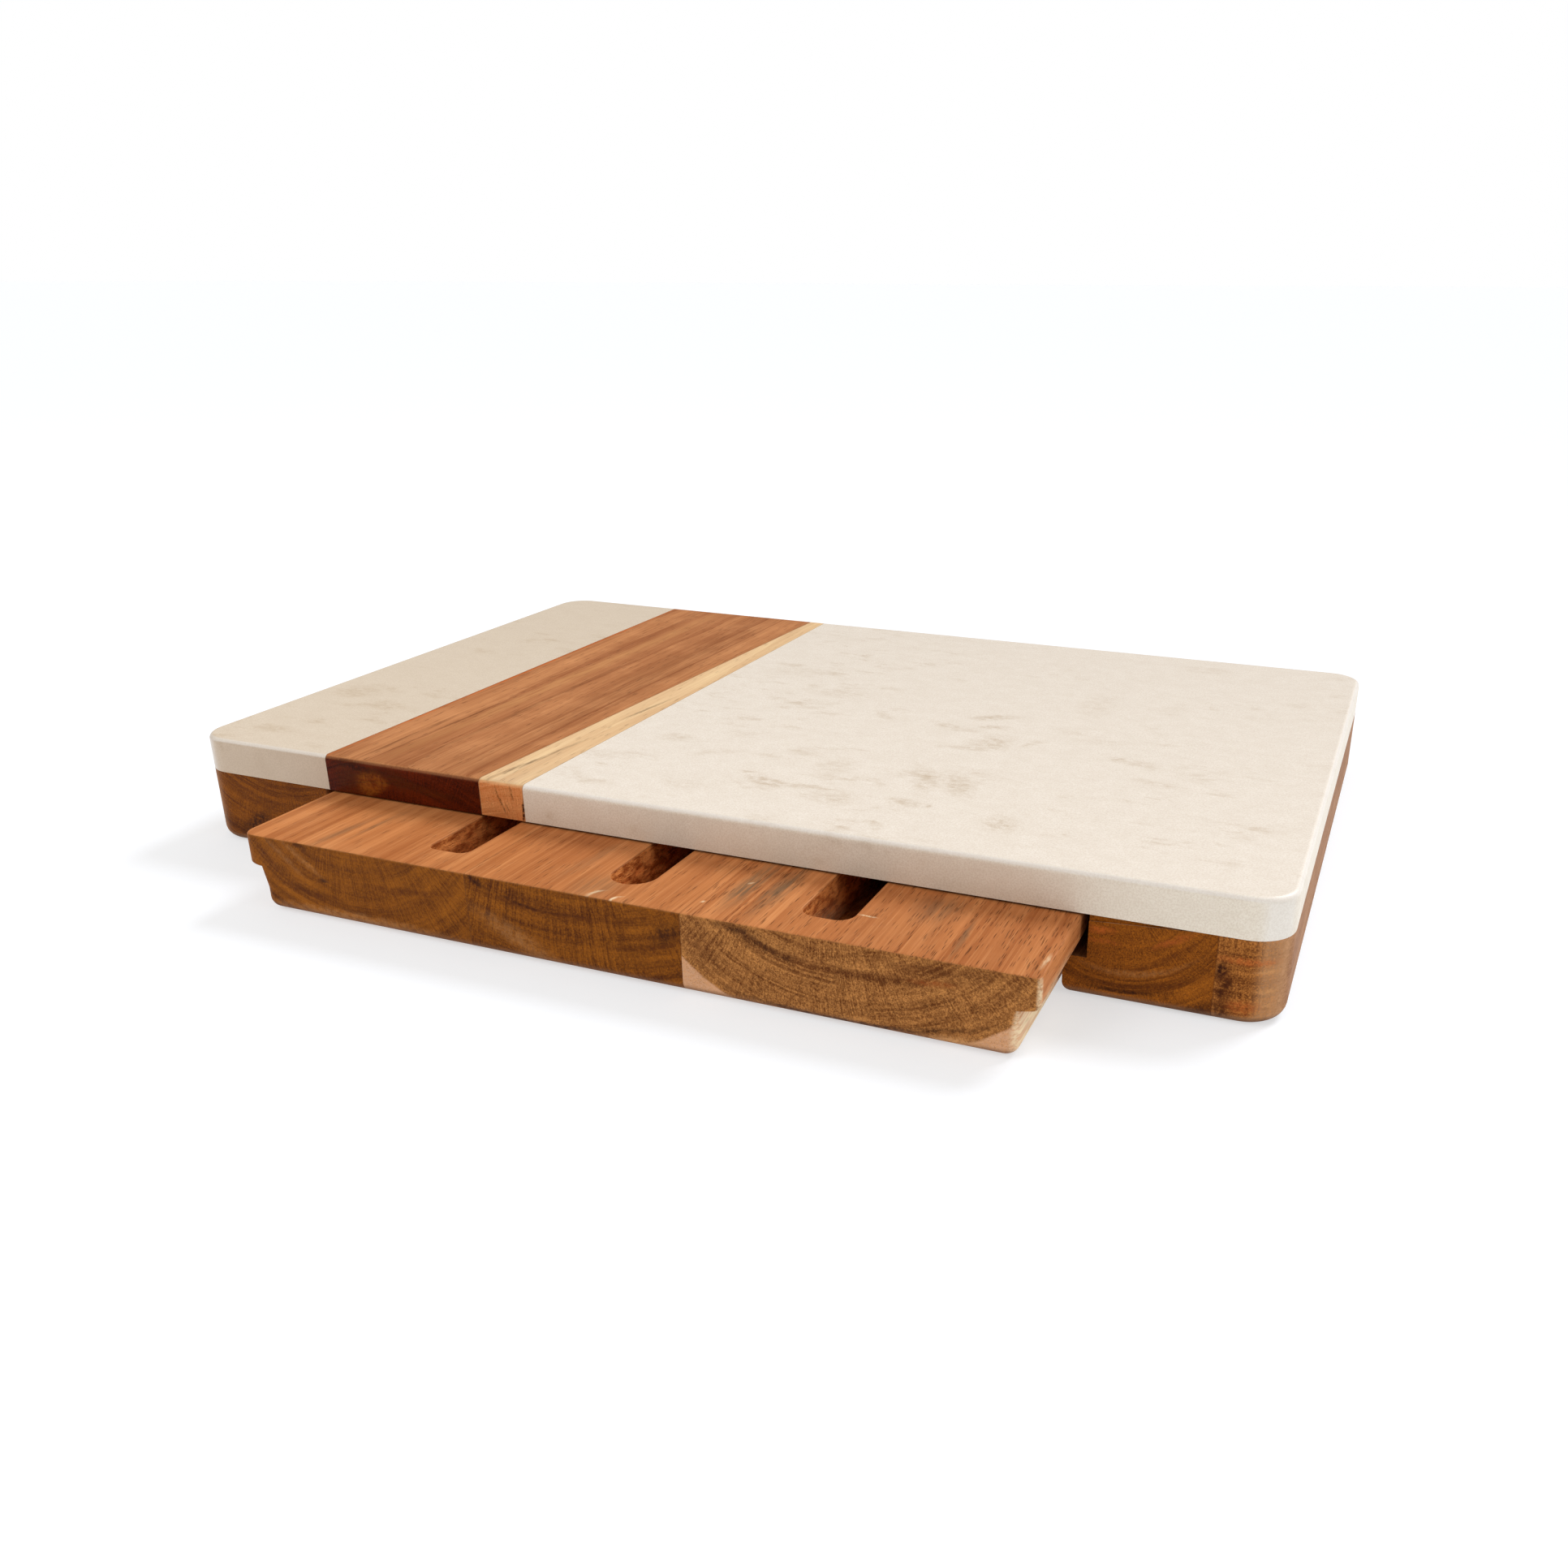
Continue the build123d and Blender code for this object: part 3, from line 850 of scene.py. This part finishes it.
# Marks by stave: face, shade, and its place along and across that face, half length and half width in
# millimetres, turn in degrees, rise of its ends in millimetres, and strength
MARKS = {
    "drawer_stave_left": (
        ("front", "dark", -107, 25, 3, 1, -20, 0, 0.7),
        ("front", "dark", -99.6, 14.2, 2, 0.7, 0, 0, 0.8),
        ("front", "brown", -108, 9.5, 13, 1.2, -8, 1, 0.7),
        ("front", "brown", -70, 15.6, 18, 1.1, 4, 1, 0.7),
        ("front", "tan", -107, 20.5, 9, 1.0, -36, 0, 0.2),
        ("front", "tan", -114, 20, 8, 1.0, -40, 0, 0.18),
        ("front", "tan", -90, 3.5, 30, 1.6, 0, 0, 0.3),
        ("top", "grey", -101, -127, 14, 1.6, 84, 0, 0.5),
        ("top", "grey", -94.5, -118, 14, 1.2, 86, 0, 0.5),
    ),
    "drawer_stave_middle": (
        ("front", "dark", -40, 23.6, 4, 0.9, -30, 0, 0.8),
        ("front", "dark", -22, 18.6, 10, 0.55, -8, 1, 0.9),
        ("front", "brown", -10, 18.2, 32, 0.8, 0, 3, 0.7),
        ("front", "dark", 24, 18.5, 6, 3.2, 30, 0, 0.75),
        ("front", "brown", 18, 12.6, 13, 0.8, 14, 1, 0.8),
        ("front", "tan", -28, 8, 14, 3, -25, 0, 0.25),
        ("top", "pale", -1.4, -138.6, 3, 0.6, 62, -0.8, 1.0),
        ("top", "pale", 6.2, -139.8, 2.4, 0.5, 66, -0.8, 0.85),
        ("top", "grey", -3, -134, 8, 7, 84, 0, 0.45),
        ("top", "grey", -15, -119, 14, 2.2, 86, 0, 0.4),
    ),
    "drawer_stave_right": (
        ("front", "dark", 46, 24, 8, 1.2, -6, 0, 0.7),
        ("front", "dark", 54, 20.4, 7, 1.4, -18, 0, 0.7),
        ("front", "dark", 61.7, 18.4, 2.5, 1.2, -20, 0, 0.6),
        ("front", "brown", 88, 17.2, 30, 1.3, 2, 3.5, 0.7),
        ("front", "brown", 106, 22.5, 18, 1.6, 4, 1, 0.65),
        ("front", "dark", 83, 1.8, 38, 0.9, 3, 5, 0.85),
        ("front", "orange", 104, 18.7, 6, 0.9, 4, 0, 0.3),
        ("front", "brown", 34, 17, 5, 5, 0, 0, 0.5),
        ("front", "tan", 109, 2.2, 9, 1.7, 10, 0, 0.9),
        ("top", "grey", 38.5, -116, 16, 3.4, 88, 0, 1.0),
        ("top", "grey", 47.8, -117, 16, 3.2, 88, 0, 0.9),
        ("top", "grey", 107, -126, 12, 1.0, 92, 0, 0.7),
        ("top", "grey", 95, -112, 9, 7, 90, 0, 0.5),
        ("top", "pale", 77.8, -123.3, 2.6, 0.35, 0, 0, 0.8),
        ("top", "pale", 38, -115.3, 1, 0.5, 60, 0, 0.7),
        ("top", "pale", 31, -132, 0.8, 0.5, 60, 0, 0.7),
        ("top", "pale", 131.4, -131.5, 4, 0.6, 88, 0, 0.7),
        ("right", "pale", -141.2, 21, 1.6, 5.5, 0, 0, 0.9),
        ("right", "pale", -124, 8, 24, 9, 0, 0, 1.2),
    ),
    "left_rail": (
        ("front", "dark", -167, 9.5, 9, 2.4, 34, 0, 0.85),
        # Painted shade along the drawer's channel: the rail's groove wall and the top faces beside it
        ("right", "dark", 0, 20, 130, 8, 0, 0, 0.9),
        ("top", "dark", -130, 0, 8, 130, 0, 0, 0.9),
    ),
    "right_rail": (
        ("front", "brown", 150, 6.4, 21, 0.9, 8, 5, 0.75),
        ("front", "dark", 147, 4.4, 11, 0.7, 4, 1, 0.8),
        ("front", "brown", 158, 17, 12, 0.9, 36, 1, 0.6),
        ("front", "orange", 138.5, 22.4, 4, 1.2, 0, 0, 0.5),
        ("front", "orange", 139, 19, 5, 0.7, 0, 0, 0.3),
        ("front", "orange", 159, 22.6, 6, 1, 30, 0, 0.4),
        ("front", "tan", 150, 10.5, 14, 1, 10, 3, 0.2),
        ("front", "dark", 168, 3, 6, 2, 20, 0, 0.7),
        # Painted shade along the drawer's channel: the rail's groove wall and the top faces beside it
        ("left", "dark", 0, 20, 130, 8, 0, 0, 0.9),
        ("top", "dark", 132, 0, 8, 130, 0, 0, 0.9),
    ),
    "right_edge_stave": (
        ("front", "dark", 172.6, 16.2, 1.3, 2.4, 0, 0, 1.3),
        ("front", "dark", 174.4, 12.4, 1.4, 1.6, 0, 0, 1.1),
        ("front", "dark", 172.9, 9.6, 1.2, 1.4, 0, 0, 1.1),
        ("front", "dark", 173.4, 4.2, 2, 2.4, 0, 0, 0.9),
        ("front", "brown", 174, 10, 2.4, 9, 0, 0, 0.7),
        ("front", "orange", 180, 20, 8, 1.1, 0, 0, 0.5),
        ("front", "orange", 179, 6, 4, 2, 0, 0, 0.45),
        ("front", "tan", 186, 17, 4, 0.7, 0, 0, 0.8),
        ("front", "tan", 186, 11, 3.4, 0.9, 0, 0, 0.8),
        ("front", "tan", 187, 6.5, 3, 0.7, 0, 0, 0.7),
    ),
    "acacia_strip": (
        ("front", "ochre", -115.5, 31, 3.4, 4, 20, 0, 0.75),
        ("front", "ochre", -109.5, 33.4, 4.2, 2.2, -30, 0, 0.6),
        ("front", "ochre", -111, 29.4, 4.6, 1.6, 30, 0, 0.6),
        ("front", "brown", -122, 32, 9, 5, 80, 0, 0.8),
        ("front", "brown", -102, 34, 7, 3, -20, 0, 0.8),
        ("front", "brown", -88, 31, 9, 1.6, -8, 1, 0.6),
        ("front", "dark", -118, 36.4, 11, 1.2, -6, 0, 0.8),
        ("top", "tan", -108, 20, 140, 3.4, 89, 0, 0.5),
        ("top", "orange", -130.2, 20, 140, 0.7, 90, 0, 0.7),
        ("top", "brown", -118, -70, 24, 1.1, 90, 0, 0.6),
        ("top", "brown", -113.5, -58, 34, 0.7, 89, 0, 0.6),
        ("top", "brown", -99, -30, 60, 1.2, 90, 0, 0.4),
        ("top", "brown", -78, 20, 130, 9, 90, 0, 0.25),
        ("top", "brown", -99, -96, 34, 24, 0, 0, 0.16),
    ),
    "pale_strip": (
        ("front", "brown", -60.2, 32.4, 4.6, 0.4, -70, 0.4, 0.75),
        ("front", "brown", -55.6, 35.4, 2.4, 0.4, -76, 0, 0.7),
        ("front", "brown", -57.6, 30.4, 1.6, 0.3, -60, 0, 0.5),
        ("front", "dark", -51.4, 30, 4.2, 0.45, 86, 0, 1.3),
        ("top", "grey", -63, -88, 13, 1.1, 80, 0, 0.8),
        ("top", "grey", -60, -68, 14, 0.8, 82, 0, 0.6),
        ("top", "grey", -57, -12, 16, 0.8, 84, 0, 0.6),
    ),
}
GLUED_SIDES = {
    "drawer_stave_left": ("Right",),
    "drawer_stave_middle": ("Left", "Right"),
    "drawer_stave_right": ("Left",),
    "left_rail": ("Right",),
    "back_stave_left": ("Left", "Right"),
    "back_stave_middle": ("Left", "Right"),
    "back_stave_right": ("Left", "Right"),
    "right_rail": ("Left", "Right"),
    "right_edge_stave": ("Left",),
    "acacia_strip": ("Left",),
    "pale_strip": ("Right",),
}
# Where the joint between the two strips runs, at the board's front and at its back
SLANT_FRONT, SLANT_BACK = -68.1 * MM, -58.0 * MM


def slanted_joint():
    """The glue line between the two strips, which slants because the pale one is tapered."""
    front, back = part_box("marble_right")[0].y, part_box("marble_right")[1].y
    slant = (SLANT_BACK - SLANT_FRONT) / (back - front)
    middle = SLANT_FRONT - slant * front
    return {
        "acacia_strip": {"Right Joint": middle, "Right Slant": slant},
        "pale_strip": {"Left Joint": middle, "Left Slant": slant},
    }


def joints_of(node, slanted):
    """Where a stave's glue lines run: at its glued sides, and slanted between the two strips."""
    low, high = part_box(node)
    sides = {"Left": low.x, "Right": high.x}
    lines = {side + " Joint": sides[side] for side in GLUED_SIDES[node]}
    return lines | slanted.get(node, {})


def dress(node, material):
    """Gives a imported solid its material."""
    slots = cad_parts[node].data.materials
    slots.clear()
    slots.append(material)


def dress_board():
    """Gives every stave and strip its wood, and both slabs their marble."""
    mark, wood, slanted = mark_group(), wood_group(), slanted_joint()
    marble = marble_group(mark)
    for node, figure in STAVES.items():
        values = figure | joints_of(node, slanted)
        dress(node, wood_material(node + "_wood", wood, mark, values, MARKS.get(node, ())))
    for node, values in SLABS.items():
        dress(node, marble_material(node + "_stone", marble, values))


def add_floor():
    """A plain pale floor that reaches past the horizon."""
    clear_selection()
    bpy.ops.mesh.primitive_plane_add(size=FLOOR_SIZE)
    floor = bpy.context.object
    floor.name = "studio_floor"
    material, shader = new_material("pale_floor")
    shader.inputs["Base Color"].default_value = FLOOR_SHADE
    shader.inputs["Roughness"].default_value = FLOOR_ROUGHNESS
    shader.inputs["Specular IOR Level"].default_value = FLOOR_GLOSS
    shader.inputs["Emission Color"].default_value = FLOOR_GLOW_SHADE
    shader.inputs["Emission Strength"].default_value = FLOOR_GLOW
    floor.data.materials.append(material)


def add_sky():
    """Soft light from all round, weaker near the floor, with a white backdrop behind the board."""
    world = bpy.data.worlds.new("studio_surround")
    scene.world = world
    world.use_nodes = True
    tree = world.node_tree
    tree.nodes.clear()
    seen = put(tree, "ShaderNodeLightPath", {}).outputs["Is Camera Ray"]
    height = split(tree, surface(tree)["Generated"])["Z"]
    level = spread(tree, fade(tree, height, 0.0, SKY_FULL_HEIGHT), HORIZON_LEVEL, SKY_LEVEL)
    soft = put(tree, "ShaderNodeBackground", {"Color": SKY_SHADE, "Strength": level})
    white = put(tree, "ShaderNodeBackground", {"Color": WHITE, "Strength": BACKDROP_LEVEL})
    both = put(tree, "ShaderNodeMixShader", {0: seen, 1: soft.outputs[0], 2: white.outputs[0]})
    put(tree, "ShaderNodeOutputWorld", {"Surface": both.outputs[0]})


def turned(angle, axis):
    """A turn about one axis, as a matrix of 4 by 4."""
    return Matrix.Rotation(angle, 4, axis)


def add_sun():
    """A broad soft light from high up behind the board, a little to its right."""
    clear_selection()
    bpy.ops.object.light_add(type="SUN")
    sun = bpy.context.object
    sun.name = "overhead_softbox"
    sun.data.energy = SUN_LEVEL
    sun.data.angle = SUN_SPREAD
    sun.data.color = SUN_SHADE
    sun.matrix_world = turned(-SUN_TURN, "Z") @ turned(-SUN_TILT, "X")


def add_softbox(name, place, aim, size, power):
    """A square soft light at one place, aimed at another."""
    clear_selection()
    bpy.ops.object.light_add(type="AREA", location=place)
    light = bpy.context.object
    light.name = name
    light.data.size = size
    light.data.energy = power
    light.rotation_euler = (Vector(aim) - Vector(place)).to_track_quat("-Z", "Y").to_euler()


def add_camera():
    """The camera at the photograph's viewpoint."""
    clear_selection()
    bpy.ops.object.camera_add(location=CAMERA_PLACE)
    camera = bpy.context.object
    camera.data.lens = CAMERA_LENS
    camera.data.sensor_width = CAMERA_SENSOR
    camera.data.sensor_fit = "HORIZONTAL"
    camera.data.shift_x, camera.data.shift_y = CAMERA_SHIFT
    turn = turned(CAMERA_YAW, "Z") @ turned(CAMERA_LEVEL + CAMERA_PITCH, "X") @ turned(CAMERA_ROLL, "Z")
    camera.matrix_world = Matrix.Translation(CAMERA_PLACE) @ turn
    scene.camera = camera


dress_board()
add_floor()
add_sky()
add_sun()
add_softbox("side_softbox", SIDE_LIGHT_PLACE, SIDE_LIGHT_AIM, SIDE_LIGHT_SIZE, SIDE_LIGHT_POWER)
add_softbox("fill_softbox", FILL_LIGHT_PLACE, FILL_LIGHT_AIM, FILL_LIGHT_SIZE, FILL_LIGHT_POWER)
add_camera()
scene.view_settings.view_transform = "Standard"
scene.view_settings.look = "None"
